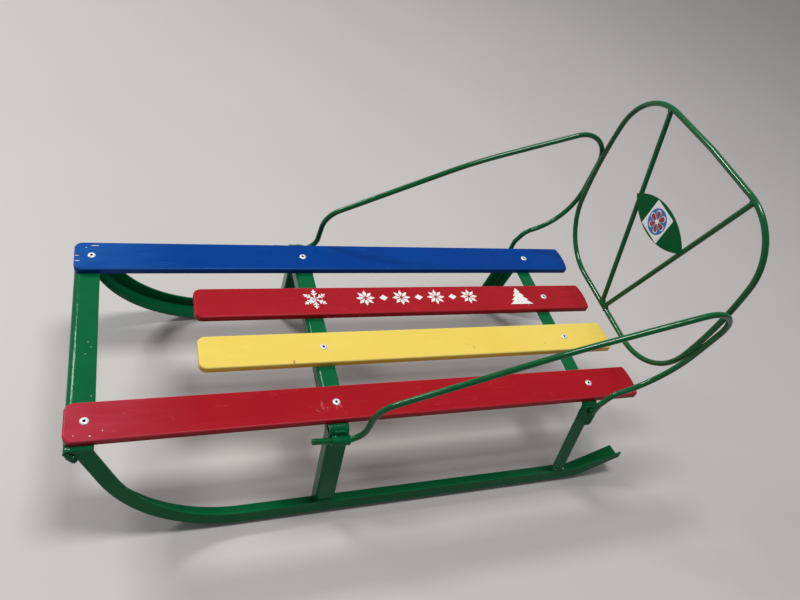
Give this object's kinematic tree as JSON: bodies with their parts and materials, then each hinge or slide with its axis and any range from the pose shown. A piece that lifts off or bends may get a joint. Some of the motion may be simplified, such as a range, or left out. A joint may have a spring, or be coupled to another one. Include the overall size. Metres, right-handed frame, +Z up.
{
  "type": "childrens sled",
  "caption": "Child's sled: slatted wooden seat on leaning steel runners and arches, with bent rod armrests and a looped rod backrest, to be pulled over snow.",
  "frame": {"origin": "middle of the bounding box in plan, on the floor the runners stand on", "axes": "+X the way the sled is pulled, +Y to the rider's left, +Z up"},
  "size_m": [0.711, 0.3384, 0.4569],
  "materials": {
    "green_enamel": "gloss",
    "red_slat_paint": "gloss paint",
    "yellow_slat_paint": "gloss paint",
    "blue_slat_paint": "gloss paint"
  },
  "bodies": {
    "root": {"slat_left_outer": "red_slat_paint", "slat_left_inner": "yellow_slat_paint", "slat_right_inner": "red_slat_paint", "slat_right_outer": "blue_slat_paint", "runner_left": "green_enamel", "runner_right": "green_enamel", "front_crossmember": "green_enamel", "mid_arch": "green_enamel", "rear_arch": "green_enamel", "socket_left": "green_enamel", "socket_right": "green_enamel", "rear_bracket_left": "green_enamel", "rear_bracket_right": "green_enamel", "armrest_left": "green_enamel", "armrest_right": "green_enamel", "back_ring": "green_enamel", "brace_left": "green_enamel", "brace_right": "green_enamel", "badge_plate": "green_enamel"}
  },
  "joints": []
}
